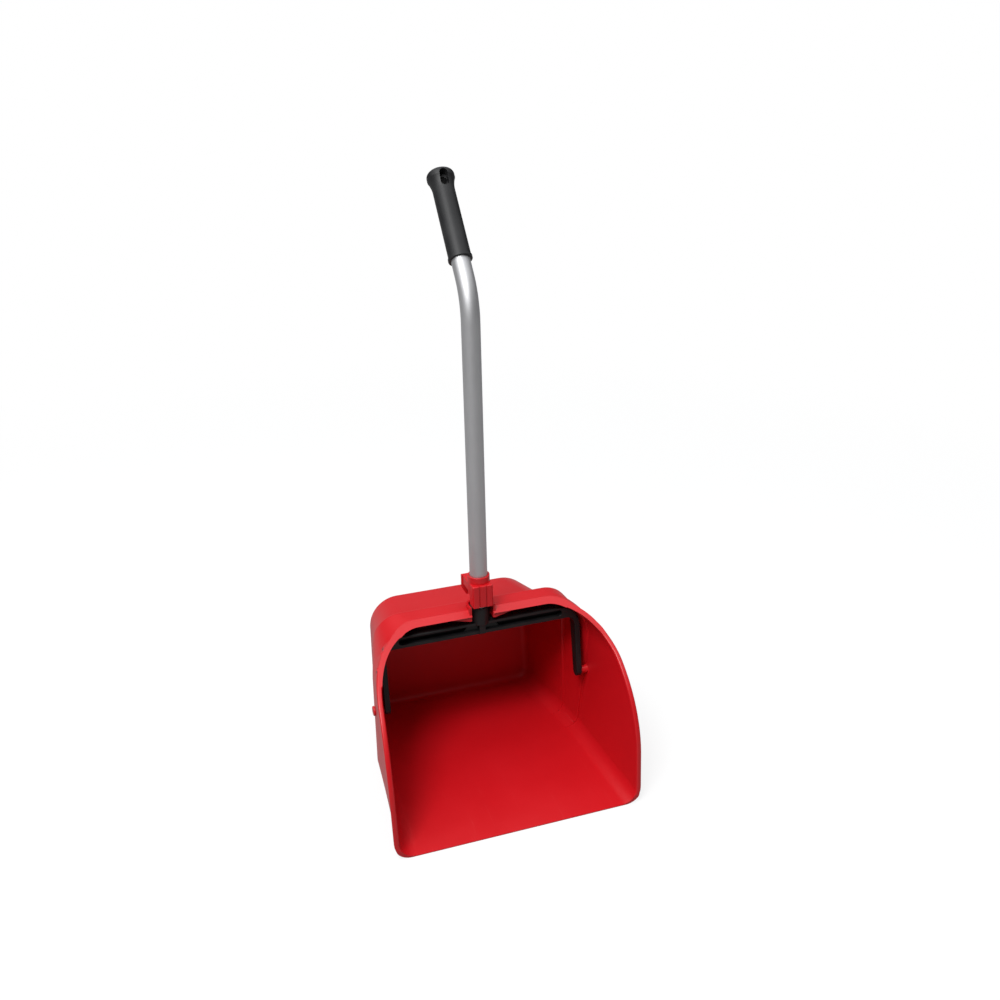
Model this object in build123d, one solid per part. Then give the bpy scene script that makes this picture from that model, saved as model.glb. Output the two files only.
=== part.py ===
from build123d import *
import os
from math import cos, radians, sin, tan

os.makedirs("parts", exist_ok=True)

# Sizes in millimetres. X is across the pan, the mouth faces -Y, Z is up, the floor rests on Z = 0.

# Pan shell
wall = 3.0
pan_depth = 356.0
front_y = -pan_depth / 2
heel_radius = 24.0
lip_edge = 1.2

# Hood: half widths at its foot and head, from the mouth back to the shoulder
mouth_y = front_y - 6.0
mouth_foot = 175.0
mouth_flare = 6.5
mouth_head = mouth_foot + mouth_flare
mouth_height = 268.5
mouth_crown = 83.0
throat_y = -74.0
throat_taper = 9.6
throat_flare = 3.2
throat_foot = mouth_foot - throat_taper
throat_head = throat_foot + throat_flare
throat_height = 258.2
throat_crown = 67.0
saddle_y = 7.0
saddle_lean = 6.3
saddle_taper = 14.5
saddle_flare = 3.8
saddle_foot = mouth_foot - saddle_taper
saddle_head = saddle_foot + saddle_flare
saddle_height = 253.0
saddle_crown = 72.0
shoulder_y = 48.0
shoulder_taper = 22.0
shoulder_draw_in = 5.5
shoulder_foot = mouth_foot - shoulder_taper
shoulder_head = shoulder_foot - shoulder_draw_in
shoulder_height = 240.0
shoulder_crown = 38.5
shoulder_edge_radius = 7.0

# Neck: behind the saddle the inside steps in a little, most at the floor
neck_step = 0.6
neck_foot_step = 2.4

# Rear bin, lower and narrower than the hood
bin_overlap = 24.0
bin_side_step = 1.5
bin_front_foot = shoulder_foot + bin_side_step
bin_draw_in = 11.5
bin_front_head = bin_front_foot - bin_draw_in
bin_front_height = 229.5
bin_taper = 22.9
bin_rear_foot = bin_front_foot - bin_taper
bin_rear_draw_in = 3.6
bin_rear_head = bin_rear_foot - bin_rear_draw_in
bin_rear_height = 192.0
bin_crown = 46.0
bin_lean = 5.8
bin_edge_radius = 14.0
bin_back_rounding = 1.14
bin_top_back_y = pan_depth / 2 + bin_back_rounding

# Mouth rim, a raised band along the cut edge
rim_foot_z = 10.5
rim_knee_y = -158.6
rim_knee_z = 165.4
rim_knee_radius = 176.0
hood_edge_y = -6.6
hood_edge_z = 247.7
rim_flange = 4.2
rim_band_y = 6.5
rim_band_z = -4.5

# Handle line
handle_lean = 3.03
tube_radius = 12.5
tube_wall = 1.5
rim_axis_y = 8.3
socket_rise = 6.3
socket_rim_z = hood_edge_z + socket_rise
tube_straight = 435.0
bend_z = socket_rim_z + tube_straight
bend_radius = 85.0
upper_lean = 43.5

# Pivot
pivot_y = -13.0
pivot_z = 123.0
pin_radius = 3.6
pin_running_clearance = 0.05
pin_head_radius = 7.2
pin_head_thick = 2.2
pin_head_gap = 0.3
pin_bite = 7.0
pin_seat_fit = 0.02
boss_radius = 5.4
boss_root_radius = 6.6
boss_side_gap = 0.8
boss_proud = 2.9
boss_proud_x = saddle_foot + boss_proud

# Yoke
arm_inset = 11.0
arm_outer_x = saddle_foot - arm_inset
arm_thick = 8.0
arm_end_radius = 8.0
bar_low_z = 212.5
bar_top_z = 231.0
bar_ridge_z = 217.5
bar_cap_z = 227.5
bar_front_y = -4.0
bar_back_y = 16.0
bar_web_front_y = 5.0
bar_web_margin = 20.0
bar_web_round = 4.5
yoke_outer_radius = 34.0
yoke_inner_radius = 12.0
socket_radius = 14.6
socket_low_z = 227.0
socket_floor = 3.0
tube_fit = 0.05
spigot_length = 55.0
gusset_reach = 27.0
gusset_top_z = 234.5
gusset_thick = 5.0
socket_rib_width = 9.0
socket_rib_proud = 1.6

# Notch in the hood's front edge, its collar and apron
notch_clearance = 1.2
collar_wall = 3.5
collar_rise = 10.0
collar_low_z = 237.5
apron_half = 60.0
apron_thick = 3.0

# Grip
grip_start = 55.0
grip_ring_radius = 16.0
grip_ring_length = 4.0
grip_body_radius = 15.0
grip_waist_radius = 14.8
grip_waist = 157.0
grip_flare_radius = 18.6
grip_flare = 175.0
grip_end_length = 10.0
grip_end = grip_flare + grip_end_length
grip_dome = 6.0
hang_hole_radius = 5.5
hang_hole_from_end = 16.0
hang_hole_at = grip_end - hang_hole_from_end
hang_pocket_length = 22.0
hang_pocket_floor = 7.0
seat_margin = 3.0
tube_seat = hang_hole_at - hang_pocket_length / 2 - seat_margin

# Lock slider
slider_gap = 0.25
slider_radius = 15.6
sleeve_low = 20.0
sleeve_high = 48.0
thumb_half = 15.0
thumb_front = 20.0
thumb_low = 5.0
thumb_high = 38.0
thumb_socket_gap = 0.8
thumb_side_round = 3.0
thumb_top_round = 1.5
groove_width = 1.8
groove_depth = 1.6
groove_offset = 5.0
hook_half = 17.0
hook_tip_half = 11.0
hook_low = 5.0
hook_corner = 16.0
hook_arm_low = 24.0
hook_high = 36.0
hook_front = 27.0
hook_thick = 5.0

# Cross pin through socket and tube
cross_pin_drop = 13.0
cross_pin_radius = 2.0
cross_pin_sunk = 0.6
cross_pin_fit = 0.02

cut_reach = 2 * pan_depth


def across(y):
    # Upright plane across the pan, seen from the mouth.
    return Plane(origin=(0, y, 0), x_dir=(1, 0, 0), z_dir=(0, -1, 0))


def trapezoid(foot, head, height, crown, inset, low):
    # Rounded section of the shell, with its base at height low.
    face = make_face(
        Polyline(
            (-foot + inset, low),
            (foot - inset, low),
            (head - inset, height - inset),
            (-head + inset, height - inset),
            close=True,
        )
    )
    face = fillet(face.vertices().group_by(Axis.Y)[-1], crown - inset)
    face = fillet(face.vertices().group_by(Axis.Y)[0], heel_radius - low)
    return face


def saddle_plane():
    # The shell's sides turn in at this plane, which leans towards the mouth.
    tip = radians(saddle_lean)
    return Plane(origin=(0, saddle_y, 0), x_dir=(1, 0, 0), z_dir=(0, -cos(tip), -sin(tip)))


def front_hood(inset):
    # A negative inset grows the hood but leaves its base on the ground; inside, the floor thins to the lip.
    low = max(inset, 0.0)
    lip = min(low, lip_edge)
    mouth = trapezoid(mouth_foot, mouth_head, mouth_height, mouth_crown, inset, lip)
    throat = trapezoid(throat_foot, throat_head, throat_height, throat_crown, inset, low)
    saddle_low = low / cos(radians(saddle_lean))
    saddle = trapezoid(saddle_foot, saddle_head, saddle_height, saddle_crown, inset, saddle_low)
    return loft([saddle_plane() * saddle, across(throat_y) * throat, across(mouth_y) * mouth])


def back_hood(inset, foot_step, low, back_y):
    # From the saddle to the shoulder; the step draws its foot in at the saddle.
    saddle_low = low / cos(radians(saddle_lean))
    saddle = trapezoid(saddle_foot - foot_step, saddle_head, saddle_height, saddle_crown, inset, saddle_low)
    shoulder = trapezoid(shoulder_foot, shoulder_head, shoulder_height, shoulder_crown, inset, low)
    return loft([across(back_y) * shoulder, saddle_plane() * saddle])


def rear_bin(inset):
    lean = radians(bin_lean)
    front = trapezoid(bin_front_foot, bin_front_head, bin_front_height, bin_crown, inset, inset)
    rear = trapezoid(bin_rear_foot, bin_rear_head, bin_rear_height, bin_crown, inset, inset / cos(lean))
    foot_y = bin_top_back_y - bin_rear_height * sin(lean)
    back_plane = Plane(
        origin=(0, foot_y - inset / cos(lean), 0),
        x_dir=(1, 0, 0),
        z_dir=(0, -cos(lean), sin(lean)),
    )
    body = loft([back_plane * rear, across(shoulder_y - bin_overlap) * front])
    back_edges = body.faces().sort_by(Axis.Y)[-1].edges()
    return fillet(back_edges, bin_edge_radius - inset)


def side_prism(face, half_width):
    return extrude(Plane.YZ * face, amount=half_width, both=True)


def mouth_region():
    top_y = hood_edge_y + (cut_reach - hood_edge_z) * (hood_edge_y - rim_knee_y) / (hood_edge_z - rim_knee_z)
    face = make_face(
        Polyline(
            (front_y - cut_reach, -cut_reach),
            (front_y, -cut_reach),
            (front_y, rim_foot_z),
            (rim_knee_y, rim_knee_z),
            (top_y, cut_reach),
            (front_y - cut_reach, cut_reach),
            close=True,
        )
    )
    knee = face.vertices().sort_by_distance((rim_knee_y, rim_knee_z))[0]
    return side_prism(fillet(knee, rim_knee_radius), cut_reach)


# Handle frames: at the socket's rim and at the bend
lean = radians(handle_lean)
rim_frame = Plane(
    origin=(0, rim_axis_y, socket_rim_z),
    x_dir=(1, 0, 0),
    z_dir=(0, sin(lean), cos(lean)),
)
bend_up = (bend_z - socket_rim_z) / cos(lean)
bend_point = (0, rim_axis_y + bend_up * sin(lean), bend_z)
upper = radians(upper_lean)
grip_frame = Plane(origin=bend_point, x_dir=(1, 0, 0), z_dir=(0, sin(upper), cos(upper)))


def axis_y(z):
    # Where the leaning tube's axis is at height z.
    return rim_axis_y + (z - socket_rim_z) * tan(lean)


# Pan body
hood_outer = front_hood(0.0) + back_hood(0.0, 0.0, 0.0, shoulder_y)
hood_outer = fillet(hood_outer.faces().sort_by(Axis.Y)[-1].edges(), shoulder_edge_radius)
neck = back_hood(wall + neck_step, neck_foot_step, wall, shoulder_y - wall)
inside = front_hood(wall) + neck + rear_bin(wall)
mouth_cut = mouth_region()
shell = hood_outer + rear_bin(0.0) - inside - mouth_cut

band_region = Pos(0, rim_band_y, rim_band_z) * mouth_cut
rim_hood = front_hood(-rim_flange) + back_hood(-rim_flange, 0.0, 0.0, shoulder_y)
rim = (rim_hood & band_region) - mouth_cut - inside
pan = shell + rim

notch_half = socket_radius + notch_clearance
notch_y = axis_y(hood_edge_z)


def notch_prism(half, low_z):
    # Straight slot with a round end, open towards the mouth.
    slot = Pos(0, notch_y) * Circle(half)
    slot += Pos(0, (hood_edge_y + notch_y) / 2) * Rectangle(2 * half, notch_y - hood_edge_y)
    return extrude(Plane.XY.offset(low_z) * slot, amount=cut_reach)


notch = notch_prism(notch_half, bar_top_z)
notch += Pos(0, hood_edge_y - notch_half, bar_top_z) * Box(
    2 * notch_half, 2 * notch_half, cut_reach, align=(Align.CENTER, Align.CENTER, Align.MIN)
)
collar = notch_prism(notch_half + collar_wall, collar_low_z) & (Pos(0, 0, collar_rise) * hood_outer)
apron_face = make_face(
    Polyline(
        (-apron_half, hood_edge_z),
        (-notch_half - collar_wall, collar_low_z),
        (notch_half + collar_wall, collar_low_z),
        (apron_half, hood_edge_z),
        close=True,
    )
)
apron = extrude(across(hood_edge_y) * apron_face, amount=-apron_thick)
pan = pan + collar + apron - notch

boss_inner_x = arm_outer_x + boss_side_gap
pivot_frame = Plane(origin=(0, pivot_y, pivot_z), x_dir=(0, 1, 0), z_dir=(1, 0, 0))
bore_radius = pin_radius + pin_running_clearance
boss = loft(
    [
        pivot_frame.offset(boss_inner_x) * Circle(boss_radius),
        pivot_frame.offset(boss_proud_x) * Circle(boss_root_radius),
    ]
)
pan = pan + boss + mirror(boss, Plane.YZ)
pan -= extrude(pivot_frame * Circle(bore_radius), amount=cut_reach, both=True)

# Yoke: a U-frame as seen from the mouth, cut to its side profile
arm_inner_x = arm_outer_x - arm_thick
frame_face = make_face(
    Polyline(
        (-arm_outer_x, 0),
        (arm_outer_x, 0),
        (arm_outer_x, bar_top_z),
        (-arm_outer_x, bar_top_z),
        close=True,
    )
)
frame_face = fillet(frame_face.vertices().group_by(Axis.Y)[-1], yoke_outer_radius)
window_face = make_face(
    Polyline(
        (-arm_inner_x, 0),
        (arm_inner_x, 0),
        (arm_inner_x, bar_low_z),
        (-arm_inner_x, bar_low_z),
        close=True,
    )
)
window_face = fillet(window_face.vertices().group_by(Axis.Y)[-1], yoke_inner_radius)
u_frame = extrude(across(0) * (frame_face - window_face), amount=cut_reach, both=True)
side_face = make_face(
    Polyline(
        (pivot_y - arm_end_radius, pivot_z),
        (bar_front_y, bar_low_z),
        (bar_front_y, bar_top_z),
        (bar_back_y, bar_top_z),
        (bar_back_y, bar_low_z),
        (pivot_y + arm_end_radius, pivot_z),
        close=True,
    )
)
side_face += Pos(pivot_y, pivot_z) * Circle(arm_end_radius)
yoke = u_frame & side_prism(side_face, cut_reach)

recess_depth = bar_web_front_y - bar_front_y
bar_web_reach = arm_inner_x - bar_web_margin
recess_face = RectangleRounded(2 * bar_web_reach, bar_cap_z - bar_ridge_z, bar_web_round)
recess_plane = across(bar_web_front_y) * Pos(0, (bar_cap_z + bar_ridge_z) / 2)
yoke -= extrude(recess_plane * recess_face, amount=2 * recess_depth)

socket_depth = (socket_rim_z - socket_low_z) / cos(lean)
tube_foot = socket_depth - socket_floor
socket_barrel = extrude(rim_frame * Circle(socket_radius), amount=-socket_depth)
spigot_radius = tube_radius - tube_wall - tube_fit
spigot = extrude(rim_frame.offset(-tube_foot) * Circle(spigot_radius), amount=spigot_length)
gusset_face = make_face(
    Polyline(
        (-gusset_reach, bar_ridge_z),
        (gusset_reach, bar_ridge_z),
        (socket_radius, gusset_top_z),
        (-socket_radius, gusset_top_z),
        close=True,
    )
)
gussets = extrude(across(bar_web_front_y) * gusset_face, amount=gusset_thick)
rib = Pos(0, bar_front_y - socket_rib_proud, bar_low_z) * Box(
    socket_rib_width,
    socket_rib_proud + recess_depth,
    socket_low_z - bar_low_z + socket_floor,
    align=(Align.CENTER, Align.MIN, Align.MIN),
)
yoke = yoke + socket_barrel + gussets + rib
yoke -= extrude(rim_frame.offset(-tube_foot) * Circle(tube_radius + tube_fit), amount=cut_reach)
yoke += spigot
pin_seat = pivot_frame.offset(arm_outer_x - pin_bite)
pin_socket = extrude(pin_seat * Circle(pin_radius + pin_seat_fit), amount=cut_reach)
yoke = yoke - pin_socket - mirror(pin_socket, Plane.YZ)

# Handle tube: straight, bent back, straight into the grip
bend_angle = radians(upper_lean - handle_lean)
tangent = bend_radius * tan(bend_angle / 2)


def on_lower(up):
    return (0, rim_axis_y + up * sin(lean), socket_rim_z + up * cos(lean))


def on_upper(along):
    return (0, bend_point[1] + along * sin(upper), bend_point[2] + along * cos(upper))


lower_line = Line(on_lower(-tube_foot), on_lower(bend_up - tangent))
bend_arc = TangentArc(
    [on_lower(bend_up - tangent), on_upper(tangent)],
    tangent=(0, sin(lean), cos(lean)),
)
upper_line = Line(on_upper(tangent), on_upper(tube_seat))
tube_path = Wire([lower_line.edge(), bend_arc.edge(), upper_line.edge()])
tube_start = rim_frame.offset(-tube_foot)
handle_tube = sweep(tube_start * Circle(tube_radius), path=tube_path)
handle_tube -= sweep(tube_start * Circle(tube_radius - tube_wall), path=tube_path)

# Grip: turned body with a flared end and a hole to hang it by
grip_bore = tube_radius + tube_fit
grip_ring_end = grip_start + grip_ring_length
grip_curve = [
    Line((grip_bore, grip_start), (grip_ring_radius, grip_start)),
    Line((grip_ring_radius, grip_start), (grip_ring_radius, grip_ring_end)),
    Line((grip_ring_radius, grip_ring_end), (grip_body_radius, grip_ring_end)),
    Line((grip_body_radius, grip_ring_end), (grip_waist_radius, grip_waist)),
    TangentArc(
        [(grip_waist_radius, grip_waist), (grip_flare_radius, grip_flare)],
        tangent=(grip_waist_radius - grip_body_radius, grip_waist - grip_ring_end),
    ),
    Line((grip_flare_radius, grip_flare), (grip_flare_radius, grip_end)),
    Line((grip_flare_radius, grip_end), (0, grip_end)),
    Line((0, grip_end), (0, tube_seat)),
    Line((0, tube_seat), (grip_bore, tube_seat)),
    Line((grip_bore, tube_seat), (grip_bore, grip_start)),
]
grip_face = make_face([curve.edge() for curve in grip_curve])
grip = revolve(Plane.XZ * grip_face, Axis.Z)
grip = fillet(grip.edges().group_by(Axis.Z)[-1], grip_dome)
grip = grip_frame * grip
hang_axis = Plane(
    origin=on_upper(hang_hole_at),
    x_dir=(1, 0, 0),
    z_dir=(0, -cos(upper), sin(upper)),
)
grip -= extrude(hang_axis * Circle(hang_hole_radius), amount=cut_reach / 4, both=True)
pocket = SlotOverall(hang_pocket_length, 2 * hang_hole_radius, rotation=90)
grip -= extrude(hang_axis.offset(hang_pocket_floor) * pocket, amount=cut_reach / 4)

# Lock slider: sleeve on the tube, thumb block in front, hook behind
sleeve = extrude(Plane.XY.offset(sleeve_low) * Circle(slider_radius), amount=sleeve_high - sleeve_low)
thumb_face = Pos(0, -thumb_front) * Rectangle(2 * thumb_half, thumb_front, align=(Align.CENTER, Align.MIN))
thumb = extrude(Plane.XY.offset(thumb_low) * thumb_face, amount=thumb_high - thumb_low)
thumb = fillet(thumb.edges().filter_by(Axis.Z).group_by(Axis.Y)[0], thumb_side_round)
thumb = fillet(thumb.faces().sort_by(Axis.Z)[-1].edges().group_by(Axis.Y)[0], thumb_top_round)
socket_way = extrude(Circle(socket_radius + thumb_socket_gap), amount=sleeve_low)
groove = Pos(groove_offset, -thumb_front, thumb_low) * Box(
    groove_width, 2 * groove_depth, cut_reach, align=(Align.CENTER, Align.CENTER, Align.MIN)
)
hook_face = make_face(
    Polyline(
        (-hook_half, hook_high),
        (hook_half, hook_high),
        (hook_half, hook_corner),
        (hook_tip_half, hook_low),
        (-hook_tip_half, hook_low),
        (-hook_half, hook_corner),
        close=True,
    )
)
hook_leg = extrude(across(hook_front) * hook_face, amount=-hook_thick)
hook_arm = Pos(0, 0, hook_arm_low) * Box(
    2 * slider_radius,
    hook_front + hook_thick,
    hook_high - hook_arm_low,
    align=(Align.CENTER, Align.MIN, Align.MIN),
)
slider = sleeve + (thumb - socket_way) + hook_arm + hook_leg
slider = slider - groove - mirror(groove, Plane.YZ)
slider -= extrude(Circle(tube_radius + slider_gap), amount=cut_reach)
lock_slider = rim_frame * slider

# Pivot pins, pressed in the arms and turning in the pan's bosses
head_back = boss_proud_x + pin_head_gap
pin_length = head_back - arm_outer_x + pin_bite
pin = extrude(pin_seat * Circle(pin_radius), amount=pin_length)
pin_head = extrude(pivot_frame.offset(head_back) * Circle(pin_head_radius), amount=pin_head_thick)
pin_head = fillet(pin_head.edges().group_by(Axis.X)[-1], pin_head_thick * 0.75)
pivot_pin_right = pin + pin_head
pivot_pin_left = mirror(pivot_pin_right, Plane.YZ)

# Cross pin that keeps the tube on its spigot
cross_frame = Plane(origin=on_lower(-cross_pin_drop), x_dir=(0, 1, 0), z_dir=(1, 0, 0))
cross_half = socket_radius - cross_pin_sunk
socket_pin = extrude(cross_frame * Circle(cross_pin_radius), amount=cross_half, both=True)
cross_bore = Circle(cross_pin_radius + cross_pin_fit)
cross_way = extrude(cross_frame * cross_bore, amount=2 * socket_radius, both=True)
yoke -= cross_way
handle_tube -= cross_way

named = {
    "pan_body": pan,
    "yoke": yoke,
    "handle_tube": handle_tube,
    "grip": grip,
    "lock_slider": lock_slider,
    "pivot_pin_left": pivot_pin_left,
    "pivot_pin_right": pivot_pin_right,
    "socket_pin": socket_pin,
}
for node, shape in named.items():
    export_step(shape, f"parts/{node}.step")
    box = shape.bounding_box()
    print(node, len(shape.solids()), "solid", round(shape.volume / 1000, 2), "cm3", box.min, box.max)
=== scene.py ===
import math

import bmesh
import bpy
from mathutils import Matrix, Vector
from mathutils.bvhtree import BVHTree
from mathutils.kdtree import KDTree


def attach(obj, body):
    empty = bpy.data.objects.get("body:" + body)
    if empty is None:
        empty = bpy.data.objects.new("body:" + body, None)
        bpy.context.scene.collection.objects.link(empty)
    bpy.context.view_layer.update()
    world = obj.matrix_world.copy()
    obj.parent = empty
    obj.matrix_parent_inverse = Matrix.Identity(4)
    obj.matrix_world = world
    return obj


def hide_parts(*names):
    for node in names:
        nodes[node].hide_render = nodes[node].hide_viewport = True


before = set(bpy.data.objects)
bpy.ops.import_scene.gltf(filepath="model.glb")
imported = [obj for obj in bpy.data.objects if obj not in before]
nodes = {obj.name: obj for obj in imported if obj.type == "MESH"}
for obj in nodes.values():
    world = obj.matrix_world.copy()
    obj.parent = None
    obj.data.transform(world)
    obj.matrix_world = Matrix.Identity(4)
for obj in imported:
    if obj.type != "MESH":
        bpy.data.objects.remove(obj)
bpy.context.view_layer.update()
scene = bpy.context.scene
scene.view_settings.view_transform = "Standard"
print("frame loaded:", ", ".join(sorted(nodes)))


class Sock:  # wraps a shader socket, so that shader maths reads as plain expressions
    def __init__(self, graph, socket):
        self.graph = graph
        self.socket = socket

    def __add__(self, other):
        return self.graph.maths("ADD", self, other)

    def __radd__(self, other):
        return self.graph.maths("ADD", other, self)

    def __sub__(self, other):
        return self.graph.maths("SUBTRACT", self, other)

    def __rsub__(self, other):
        return self.graph.maths("SUBTRACT", other, self)

    def __mul__(self, other):
        return self.graph.maths("MULTIPLY", self, other)

    def __rmul__(self, other):
        return self.graph.maths("MULTIPLY", other, self)


class Graph:  # the nodes of one material or world
    def __init__(self, owner):
        owner.use_nodes = True
        self.tree = owner.node_tree

    def node(self, kind, settings, values, out=0):
        made = self.tree.nodes.new(kind)
        for key, value in settings.items():
            setattr(made, key, value)
        for key, value in values.items():
            self.plug(made.inputs[key], value)
        return Sock(self, made.outputs[out])

    def plug(self, socket, value):
        if isinstance(value, Sock):
            self.tree.links.new(value.socket, socket)
        else:
            socket.default_value = value

    def maths(self, operation, first, second):
        return self.node("ShaderNodeMath", {"operation": operation}, {0: first, 1: second})

    def axis(self, place, letter):
        return self.node("ShaderNodeSeparateXYZ", {}, {0: place}, letter)

    def band(self, value, low, high):  # 0 below low, 1 above high, smooth between
        settings = {"interpolation_type": "SMOOTHSTEP"}
        values = {"Value": value, "From Min": low, "From Max": high}
        return self.node("ShaderNodeMapRange", settings, values)

    def mix(self, share, first, second):  # 6, 7 and 2 are the node's colour sockets
        settings = {"data_type": "RGBA", "blend_type": "MIX"}
        return self.node("ShaderNodeMix", settings, {0: share, 6: first, 7: second}, 2)

    def rays(self, kind):
        return self.node("ShaderNodeLightPath", {}, {}, kind)

    def surface(self, output, share, first, second):  # mixes two shaders into the output node
        mixed = self.node("ShaderNodeMixShader", {}, {0: share, 1: first, 2: second})
        self.plug(self.tree.nodes[output].inputs["Surface"], mixed)


class Paint(Graph):  # one material and its shader
    def __init__(self, name):
        self.material = bpy.data.materials.new(name)
        super().__init__(self.material)
        self.shader = self.tree.nodes["Principled BSDF"]
        self.place = self.node("ShaderNodeTexCoord", {}, {}, "Object")

    def noise(self, scale, detail, place=None, roughness=0.55):
        values = {"Vector": place or self.place, "Scale": scale, "Detail": detail, "Roughness": roughness}
        return self.node("ShaderNodeTexNoise", {}, values, "Fac")

    def stretched(self, scale, place=None):
        return self.node("ShaderNodeMapping", {}, {"Vector": place or self.place, "Scale": scale})

    def turned(self, angle):
        return self.node("ShaderNodeMapping", {}, {"Vector": self.place, "Rotation": (angle, 0.0, 0.0)})

    def feed(self, **links):  # socket names with _ for a space
        for key, value in links.items():
            self.plug(self.shader.inputs[key.replace("_", " ")], value)

    def bump(self, height, strength, distance):
        values = {"Height": height, "Strength": strength, "Distance": distance}
        self.feed(Normal=self.node("ShaderNodeBump", {}, values, "Normal"))


redLook = {
    "deep": (0.54, 0.004, 0.008, 1.0),
    "bright": (0.62, 0.006, 0.012, 1.0),
    "scuff": (0.66, 0.05, 0.05, 1.0),
    "refraction": 1.49,
    "roughLow": 0.3,
    "roughSpread": 0.16,
    "cloudScale": 9.0,
    "cloudDetail": 3.0,
    "peelScale": 420.0,
    "peelDetail": 2.0,
    "scuffScale": (140.0, 9.0, 60.0),
    "scuffDetail": 4.0,
    "scuffGrit": 0.7,
    "scuffBand": (0.6, 0.74),
    "frontBand": (0.02, 0.17),  # metres towards the mouth
    "heightBand": (0.006, 0.05),  # metres above the ground
    "wornMost": 0.35,
    "wornRough": 0.3,
    "scuffRelief": 0.4,
    "relief": 0.12,
    "reliefDepth": 0.0004,
}


def redPlastic(name, look):  # glossy, with faint scuffs low at the mouth
    paint = Paint(name)
    cloud = paint.noise(look["cloudScale"], look["cloudDetail"])
    peel = paint.noise(look["peelScale"], look["peelDetail"])
    drawn = paint.stretched(look["scuffScale"])
    scuffs = paint.noise(1.0, look["scuffDetail"], drawn, look["scuffGrit"])
    frontward = paint.band(0.0 - paint.axis(paint.place, "Y"), *look["frontBand"])
    lowDown = 1.0 - paint.band(paint.axis(paint.place, "Z"), *look["heightBand"])
    worn = paint.band(scuffs, *look["scuffBand"]) * frontward * lowDown * look["wornMost"]
    colour = paint.mix(cloud, look["deep"], look["bright"])
    paint.feed(Base_Color=paint.mix(worn, colour, look["scuff"]))
    paint.feed(Roughness=look["roughLow"] + look["roughSpread"] * cloud + worn * look["wornRough"])
    paint.feed(IOR=look["refraction"])
    paint.bump(peel + scuffs * look["scuffRelief"], look["relief"], look["reliefDepth"])
    return paint.material


blackLook = {  # what the yoke and the grip share
    "cloudScale": 24.0,
    "cloudDetail": 4.0,
    "wornBand": (0.35, 0.75),
    "grainScale": 900.0,
    "grainDetail": 2.0,
    "relief": 0.3,
    "reliefDepth": 0.0003,
}
yokeLook = {
    **blackLook,
    "deep": (0.004, 0.004, 0.0045, 1.0),
    "worn": (0.011, 0.011, 0.0115, 1.0),
    "shine": 0.35,
    "roughLow": 0.38,
    "roughSpread": 0.2,
}
gripLook = {
    **blackLook,
    "deep": (0.008, 0.008, 0.009, 1.0),
    "worn": (0.017, 0.017, 0.018, 1.0),
    "shine": 0.45,
    "roughLow": 0.42,
    "roughSpread": 0.18,
}


def blackPlastic(name, look):  # satin, with a fine grain
    paint = Paint(name)
    paint.feed(Specular_IOR_Level=look["shine"])
    cloud = paint.noise(look["cloudScale"], look["cloudDetail"])
    grain = paint.noise(look["grainScale"], look["grainDetail"])
    paint.feed(Base_Color=paint.mix(paint.band(cloud, *look["wornBand"]), look["deep"], look["worn"]))
    paint.feed(Roughness=look["roughLow"] + look["roughSpread"] * cloud)
    paint.bump(grain, look["relief"], look["reliefDepth"])
    return paint.material


tubeLook = {
    "pale": (0.66, 0.66, 0.67, 1.0),
    "dull": (0.54, 0.54, 0.55, 1.0),
    "roughLow": 0.5,
    "roughSpread": 0.14,
    "lineScale": (900.0, 900.0, 6.0),
    "lineDetail": 3.0,
    "lineShare": 0.6,
    "cloudScale": 30.0,
    "cloudDetail": 3.0,
    "cloudShare": 0.4,
    "upperTurn": 0.76,  # radians, the lean of the upper run
    "bendBand": (0.66, 0.72),  # metres above the ground
    "relief": 0.08,
    "reliefDepth": 0.0002,
}


def satinTube(name, look):  # fine lines along both straight runs of the tube
    paint = Paint(name)
    straight = paint.noise(1.0, look["lineDetail"], paint.stretched(look["lineScale"]))
    leaning = paint.stretched(look["lineScale"], paint.turned(look["upperTurn"]))
    upper = paint.noise(1.0, look["lineDetail"], leaning)
    share = paint.band(paint.axis(paint.place, "Z"), *look["bendBand"])
    lines = straight * (1.0 - share) + upper * share
    cloud = paint.noise(look["cloudScale"], look["cloudDetail"])
    tone = lines * look["lineShare"] + cloud * look["cloudShare"]
    paint.feed(Base_Color=paint.mix(tone, look["dull"], look["pale"]))
    paint.feed(Roughness=look["roughLow"] + look["roughSpread"] * lines, Metallic=1.0)
    paint.bump(lines, look["relief"], look["reliefDepth"])
    return paint.material


panRed = redPlastic("panRed", redLook)
sliderRed = redPlastic("sliderRed", redLook)
yokeBlack = blackPlastic("yokeBlack", yokeLook)
gripBlack = blackPlastic("gripBlack", gripLook)
tubeSatin = satinTube("tubeSatin", tubeLook)
for node in ("handle_tube", "socket_pin"):
    nodes[node].data.materials.clear()
    nodes[node].data.materials.append(tubeSatin)
print("finishes made")


def meshFrom(bm, name):
    mesh = bpy.data.meshes.new(name)
    bm.to_mesh(mesh)
    bm.free()
    return mesh


def placed(name, data):
    made = bpy.data.objects.new(name, data)
    scene.collection.objects.link(made)
    return made


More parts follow.
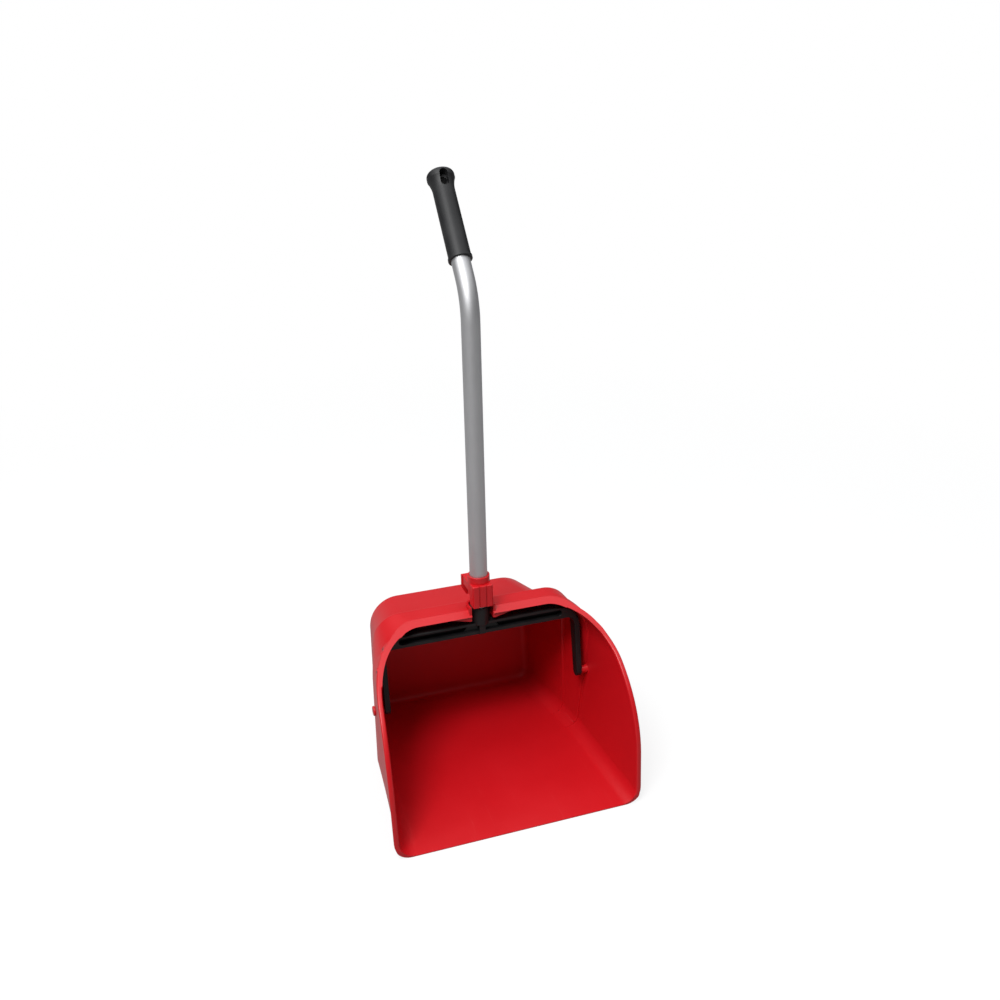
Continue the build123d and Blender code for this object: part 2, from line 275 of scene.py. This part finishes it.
plainRounding = {  # what most pieces share, in metres
    "join": ((0.2, 0.0),),  # faces within so many degrees are joined, from so far off the middle
    "segments": 2,
    "merge": 0.000002,  # points closer than this become one
    "leastRoom": 0.0,  # the gap to other edges that an edge needs
    "lowZ": 0.0,  # edges are rounded between these heights
    "highZ": 1.0,
}
pinRounding = {**plainRounding, "body": "handle", "slot": "pin_red", "finish": sliderRed, "radius": 0.0006}
roundLook = {
    "pan_body": {
        **plainRounding,
        "piece": "panShell",
        "body": "pan",
        "slot": "pan_red",
        "finish": panRed,
        "join": ((0.2, 0.0), (1.0, 0.1)),
        "radius": 0.0024,
        "segments": 4,
        "leastRoom": 0.0022,
        "lowZ": 0.012,
        "highZ": 0.228,
    },
    "yoke": {
        **plainRounding,
        "piece": "yokeFrame",
        "body": "handle",
        "slot": "yoke_black",
        "finish": yokeBlack,
        "radius": 0.0007,
        "merge": 0.0001,
    },
    "lock_slider": {
        **plainRounding,
        "piece": "lockSlider",
        "body": "lock",
        "slot": "slider_red",
        "finish": sliderRed,
        "join": (),
        "radius": 0.0006,
        "merge": 0.0002,
    },
    "grip": {
        **plainRounding,
        "piece": "gripSleeve",
        "body": "handle",
        "slot": "grip_black",
        "finish": gripBlack,
        "radius": 0.00045,
        "merge": 0.0001,
    },
    "pivot_pin_left": {**pinRounding, "piece": "pinLeft"},
    "pivot_pin_right": {**pinRounding, "piece": "pinRight"},
}
edgeRule = {
    "sharp": 35.0,  # degrees between two faces, where the rounding starts
    "full": 58.0,  # where it is full
    "keen": 100.0,  # where it gets less again
    "knife": 125.0,  # where it ends
    "roomShare": 0.38,  # of the gap to the nearest other edge
    "openGap": 1.0,  # where there is no other edge
    "step": 0.002,  # between the points along an edge
    "turnedOver": -0.2,  # cosine to the CAD surface
    "speck": 0.00000001,  # square metres that don't count
    "nearShare": 1.6,  # of the radius, around a face that is turned over
    "tries": 6,
    "weld": 0.000004,
}


def pointTree(points):
    tree = KDTree(len(points))
    for i, point in enumerate(points):
        tree.insert(point, i)
    tree.balance()
    return tree


def pointsAlong(edge):
    first, last = (vertex.co for vertex in edge.verts)
    count = max(1, math.ceil(edge.calc_length() / edgeRule["step"]))
    return [first.lerp(last, i / count) for i in range(count + 1)]


def runNumbers(edges, kind):  # numbers the runs of joined edges, by vertex
    number = {}
    byVertex = {}
    for edge in edges:
        for vertex in edge.verts:
            byVertex.setdefault(vertex, []).append(edge)
    for count, start in enumerate(byVertex):
        queue = [start]
        while queue:
            vertex = queue.pop()
            if vertex not in number:
                number[vertex] = (kind, count)
                queue.extend(edge.other_vert(vertex) for edge in byVertex[vertex])
    return number


def edgeRoom(ridges, creases):  # from each ridge to the nearest edge of another run
    ridgeRuns = runNumbers(ridges, "ridge")
    creaseRuns = runNumbers(creases, "crease")
    marks = []
    for runs, edges in ((ridgeRuns, ridges), (creaseRuns, creases)):
        for edge in edges:
            marks.extend((point, runs[edge.verts[0]]) for point in pointsAlong(edge))
    tree = pointTree([point for point, run in marks])
    room = {}
    for edge in ridges:
        own = ridgeRuns[edge.verts[0]]
        gaps = [tree.find(point, filter=lambda i: marks[i][1] != own)[2] for point in pointsAlong(edge)]
        room[edge] = min(edgeRule["openGap"] if gap is None else gap for gap in gaps)
    return room


def ramp(value, low, high):
    share = min(1.0, max(0.0, (value - low) / (high - low)))
    return share * share * (3.0 - 2.0 * share)


def edgeRadius(edge, gap, look):  # knife edges, shallow edges and thin steps stay as they are
    within = all(look["lowZ"] < vertex.co.z < look["highZ"] for vertex in edge.verts)
    if gap < look["leastRoom"] or not within:
        return 0.0
    angle = math.degrees(edge.calc_face_angle(0.0))
    rising = ramp(angle, edgeRule["sharp"], edgeRule["full"])
    falling = 1.0 - ramp(angle, edgeRule["keen"], edgeRule["knife"])
    return min(look["radius"], edgeRule["roomShare"] * gap) * rising * falling


def joinFlat(bm, angle, fromX):  # so that the rounding meets no thin triangles
    verts = [vertex for vertex in bm.verts if abs(vertex.co.x) >= fromX]
    chosen = set(verts)
    edges = [edge for edge in bm.edges if chosen.issuperset(edge.verts)]
    bmesh.ops.dissolve_limit(bm, angle_limit=math.radians(angle), verts=verts, edges=edges)


def weighEdges(bm, look):  # gives each convex edge its share of the radius
    weight = bm.edges.layers.float.new("bevel_weight_edge")
    least = math.radians(edgeRule["sharp"])
    sharp = [edge for edge in bm.edges if edge.is_manifold and edge.calc_face_angle(0.0) > least]
    ridges = [edge for edge in sharp if edge.is_convex]
    creases = [edge for edge in sharp if not edge.is_convex]
    room = edgeRoom(ridges, creases)
    for edge in creases:
        edge.smooth = False
    for edge in ridges:
        edge[weight] = edgeRadius(edge, room[edge], look) / look["radius"]
        edge.smooth = edge[weight] > 0.0


def addRounding(piece, look):
    rounding = piece.modifiers.new("rounding", "BEVEL")
    rounding.limit_method = "WEIGHT"
    rounding.width = look["radius"]
    rounding.segments = look["segments"]
    rounding.use_clamp_overlap = False
    rounding.miter_outer = "MITER_ARC"
    welding = piece.modifiers.new("welding", "WELD")  # takes out faces without area
    welding.merge_threshold = edgeRule["weld"]
    shading = piece.modifiers.new("shading", "WEIGHTED_NORMAL")
    shading.keep_sharp = True


def strayCorners(piece, tree):  # corners of rounded faces that lie turned over on the CAD surface
    rounded = piece.evaluated_get(bpy.context.evaluated_depsgraph_get())
    mesh = rounded.to_mesh()
    mesh.calc_loop_triangles()
    corners = []
    for triangle in mesh.loop_triangles:
        points = [mesh.vertices[i].co.copy() for i in triangle.vertices]
        normal = tree.find_nearest((points[0] + points[1] + points[2]) / 3.0)[1]
        turned = triangle.normal.dot(normal) < edgeRule["turnedOver"]
        if turned and triangle.area > edgeRule["speck"]:
            corners.extend(points)
    rounded.to_mesh_clear()
    return corners


def keepSharp(mesh, corners, reach):  # takes the rounding off the edges near these corners
    near = pointTree(corners)
    weights = mesh.attributes["bevel_weight_edge"].data
    for edge, weight in zip(mesh.edges, weights):
        if weight.value > 0.0:
            gap = min(near.find(mesh.vertices[i].co)[2] for i in edge.vertices)
            if gap < reach:
                weight.value = 0.0
                edge.use_edge_sharp = True
    mesh.update()


def easeStray(piece, tree, look):  # leaves edges sharp where their rounding would turn a face over
    corners = strayCorners(piece, tree)
    tries = 0
    while corners and tries < edgeRule["tries"]:
        keepSharp(piece.data, corners, edgeRule["nearShare"] * look["radius"])
        corners = strayCorners(piece, tree)
        tries += 1
    return len(corners) // 3


def roundedCopy(node, look):
    bm = bmesh.new()
    bm.from_mesh(nodes[node].data)
    bmesh.ops.remove_doubles(bm, verts=bm.verts, dist=look["merge"])
    tree = BVHTree.FromBMesh(bm)
    for angle, fromX in look["join"]:
        joinFlat(bm, angle, fromX)
    weighEdges(bm, look)
    for face in bm.faces:
        face.smooth = True
    piece = placed(look["piece"], meshFrom(bm, look["piece"]))
    piece.data.materials.append(look["finish"])
    addRounding(piece, look)
    print(look["piece"], "faces turned over:", easeStray(piece, tree, look))
    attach(piece, look["body"])
    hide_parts(node)


for node, look in roundLook.items():
    roundedCopy(node, look)
print("rounded pieces:", len(roundLook))

pureWhite = {"Color": (1.0, 1.0, 1.0, 1.0), "Strength": 1.0}
stageLook = {
    "size": 12.0,
    "pale": (0.9, 0.9, 0.9, 1.0),
    "bounce": (0.22, 0.22, 0.22, 1.0),
    "rough": 0.9,
    "shine": 0.0,
    "seenWhite": 0.8,
    "mirrorWhite": 0.25,
    "farBand": (0.5, 4.0),  # square of the distance, over which the floor turns all white
}


def paleFloor(look):
    bm = bmesh.new()
    bmesh.ops.create_grid(bm, x_segments=1, y_segments=1, size=look["size"])
    floor = placed("floor", meshFrom(bm, "floor"))
    paint = Paint("floorPale")
    seen = paint.rays("Is Camera Ray")
    mirrored = paint.rays("Is Glossy Ray") + paint.rays("Is Transmission Ray")
    paint.feed(Base_Color=paint.mix(seen, look["bounce"], look["pale"]))
    paint.feed(Roughness=look["rough"], Specular_IOR_Level=look["shine"])
    acrossX = paint.axis(paint.place, "X")
    acrossY = paint.axis(paint.place, "Y")
    far = paint.band(acrossX * acrossX + acrossY * acrossY, *look["farBand"])
    whiteShare = look["seenWhite"] + (1.0 - look["seenWhite"]) * far
    share = seen * whiteShare + mirrored * look["mirrorWhite"]
    lit = Sock(paint, paint.shader.outputs[0])
    paint.surface("Material Output", share, lit, paint.node("ShaderNodeEmission", {}, pureWhite))
    floor.data.materials.append(paint.material)


paleFloor(stageLook)

worldLook = {
    "low": 0.06,
    "high": 1.45,
    "overheadBand": (0.3, 0.8),
    "leftward": 0.35,
    "frontBand": (0.25, 0.75),
    "frontShade": 0.85,
    "tone": (0.97, 0.985, 1.0, 1.0),
}


def studioWorld(look):  # a soft tent of light, brightest overhead and on the left
    scene.world = bpy.data.worlds.new("studio")
    graph = Graph(scene.world)
    way = graph.node("ShaderNodeTexCoord", {}, {}, "Generated")
    overhead = graph.band(graph.axis(way, "Z"), *look["overheadBand"])
    front = graph.band(0.0 - graph.axis(way, "Y"), *look["frontBand"])
    tent = look["low"] + (look["high"] - look["low"]) * overhead
    tent = tent * (1.0 - look["leftward"] * graph.axis(way, "X"))
    tent = tent * (1.0 - look["frontShade"] * front)
    lit = graph.node("ShaderNodeBackground", {}, {"Color": look["tone"], "Strength": tent})
    white = graph.node("ShaderNodeBackground", {}, pureWhite)
    graph.surface("World Output", graph.rays("Is Camera Ray"), lit, white)


studioWorld(worldLook)

lampLook = {
    "at": (-1.05, -1.15, 2.45),
    "aim": (0.0, 0.0, 0.15),
    "size": 0.8,
    "watts": 49.0,
}


def keyLamp(look):
    data = bpy.data.lights.new("key", "AREA")
    data.shape = "SQUARE"
    data.size = look["size"]
    data.energy = look["watts"]
    lamp = placed("key", data)
    lamp.location = look["at"]
    lamp.rotation_euler = (Vector(look["aim"]) - Vector(look["at"])).to_track_quat("-Z", "Y").to_euler()


keyLamp(lampLook)

cameraLook = {
    "at": (-0.3783, -1.2125, 1.0340),
    "azimuth": -18.55,
    "elevation": 25.74,
    "roll": -0.19,
    "sensorWidth": 36.0,
    "focalPixels": 1049.7,
    "imagePixels": 1000,
}


def photoCamera(look):
    data = bpy.data.cameras.new("camera")
    data.sensor_width = look["sensorWidth"]
    data.lens = look["sensorWidth"] * look["focalPixels"] / look["imagePixels"]
    turn = math.radians(look["azimuth"])
    lift = math.radians(look["elevation"])
    roll = math.radians(look["roll"])
    right = Vector((math.cos(turn), math.sin(turn), 0.0))
    back = Vector((math.sin(turn) * math.cos(lift), -math.cos(turn) * math.cos(lift), math.sin(lift)))
    up = back.cross(right)
    rolledRight = right * math.cos(roll) + up * math.sin(roll)
    rolledUp = up * math.cos(roll) - right * math.sin(roll)
    matrix = Matrix((rolledRight, rolledUp, back)).transposed().to_4x4()
    matrix.translation = Vector(look["at"])
    camera = placed("camera", data)
    camera.matrix_world = matrix
    scene.camera = camera


photoCamera(cameraLook)
print("stage, lamp and camera placed")
